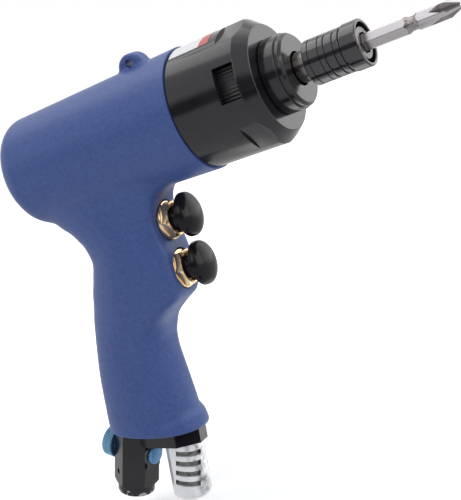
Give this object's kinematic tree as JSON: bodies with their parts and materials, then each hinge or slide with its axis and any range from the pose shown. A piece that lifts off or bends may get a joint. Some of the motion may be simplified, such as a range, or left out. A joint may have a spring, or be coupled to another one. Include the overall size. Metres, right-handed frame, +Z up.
{
  "type": "pneumatic screwdriver",
  "caption": "Pistol-grip air screwdriver with blue housing, black front casing, quick-change bit sleeve, push buttons, air inlet and muffler.",
  "frame": {"origin": "centre of the hanging eye on top of the barrel", "axes": "+X along the barrel axis towards the bit, +Z up through the hanging lug, handle towards -Z"},
  "size_m": [0.217, 0.05, 0.1818],
  "materials": {
    "blue_coating": "satin coated",
    "black_anodised": "gloss anodised",
    "black_steel": "gloss blackened",
    "bright_steel": "satin",
    "brass": "polished",
    "black_plastic": "gloss",
    "chrome": "bright plated",
    "pale_blue_anodised": "satin anodised",
    "spring_steel": "satin",
    "felt": "matt"
  },
  "bodies": {
    "housing": {"pistol_housing": "blue_coating", "front_casing": "black_anodised", "nose_cap": "black_anodised", "upper_valve_bush": "brass", "lower_valve_bush": "brass", "upper_valve_spring": "spring_steel", "lower_valve_spring": "spring_steel", "base_plate": "black_anodised", "base_screws": "bright_steel", "inlet_block": "black_anodised", "inlet_screen": "bright_steel", "muffler_shell": "chrome", "muffler_felt": "felt", "rear_end_plate": "bright_steel", "rear_bearing": "bright_steel", "motor_cylinder": "bright_steel", "front_end_plate": "bright_steel", "front_bearing": "bright_steel", "ring_gear": "bright_steel", "spindle_bearing": "bright_steel"},
    "rotor": {"rotor": "bright_steel", "rotor_vanes": "black_plastic"},
    "spindle": {"output_spindle": "bright_steel", "driver_bit": "bright_steel", "planet_carrier": "bright_steel", "clutch_balls": "bright_steel", "clutch_plate": "bright_steel", "spring_washer": "bright_steel", "clutch_spring": "spring_steel", "lock_balls": "bright_steel", "chuck_spring": "spring_steel", "chuck_clip": "black_steel"},
    "planet_1": {"planet_gear_1": "bright_steel"},
    "planet_2": {"planet_gear_2": "bright_steel"},
    "planet_3": {"planet_gear_3": "bright_steel"},
    "torque_ring": {"torque_ring": "black_steel"},
    "sleeve": {"chuck_sleeve": "black_steel"},
    "upper_button": {"upper_button": "black_plastic", "upper_valve_stem": "bright_steel"},
    "lower_button": {"lower_button": "black_plastic", "lower_valve_stem": "bright_steel"},
    "regulator": {"regulator_spool": "pale_blue_anodised", "retaining_clip": "black_steel"}
  },
  "joints": [
    {"name": "spindle_spin", "type": "hinge", "parent": "housing", "child": "spindle", "pos_m": [0.065, 0, -0.0261], "axis": [1, 0, 0], "continuous": true},
    {"name": "rotor_spin", "type": "hinge", "parent": "housing", "child": "rotor", "pos_m": [-0.028, 0, -0.0261], "axis": [1, 0, 0], "continuous": true},
    {"name": "planet_1_spin", "type": "hinge", "parent": "spindle", "child": "planet_1", "pos_m": [0.00325, 0, -0.03757], "axis": [1, 0, 0], "continuous": true},
    {"name": "planet_2_spin", "type": "hinge", "parent": "spindle", "child": "planet_2", "pos_m": [0.00325, 0.00994, -0.02036], "axis": [1, 0, 0], "continuous": true},
    {"name": "planet_3_spin", "type": "hinge", "parent": "spindle", "child": "planet_3", "pos_m": [0.00325, -0.00994, -0.02036], "axis": [1, 0, 0], "continuous": true},
    {"name": "torque_turn", "type": "hinge", "parent": "spindle", "child": "torque_ring", "pos_m": [0.0455, 0, -0.0261], "axis": [1, 0, 0], "range_deg": [-180, 180]},
    {"name": "sleeve_slide", "type": "slide", "parent": "spindle", "child": "sleeve", "axis": [1, 0, 0], "range_m": [0, 0.003], "stiffness_N_per_m": 600, "springref_m": -0.002, "deforming": ["chuck_spring"]},
    {"name": "upper_press", "type": "slide", "parent": "housing", "child": "upper_button", "axis": [-0.9998, 0, 0.0209], "range_m": [0, 0.003], "stiffness_N_per_m": 900, "springref_m": -0.002, "deforming": ["upper_valve_spring"]},
    {"name": "lower_press", "type": "slide", "parent": "housing", "child": "lower_button", "axis": [-0.9998, 0, 0.0209], "range_m": [0, 0.003], "stiffness_N_per_m": 900, "springref_m": -0.002, "deforming": ["lower_valve_spring"]},
    {"name": "regulator_turn", "type": "hinge", "parent": "housing", "child": "regulator", "pos_m": [-0.06997, 0, -0.15165], "axis": [0.8792, -0.2079, -0.4288], "range_deg": [-90, 90]}
  ],
  "couplings": [
    {"joint": "rotor_spin", "follows": "spindle_spin", "ratio": 4.5},
    {"joint": "planet_1_spin", "follows": "spindle_spin", "ratio": -2.8},
    {"joint": "planet_2_spin", "follows": "spindle_spin", "ratio": -2.8},
    {"joint": "planet_3_spin", "follows": "spindle_spin", "ratio": -2.8}
  ]
}
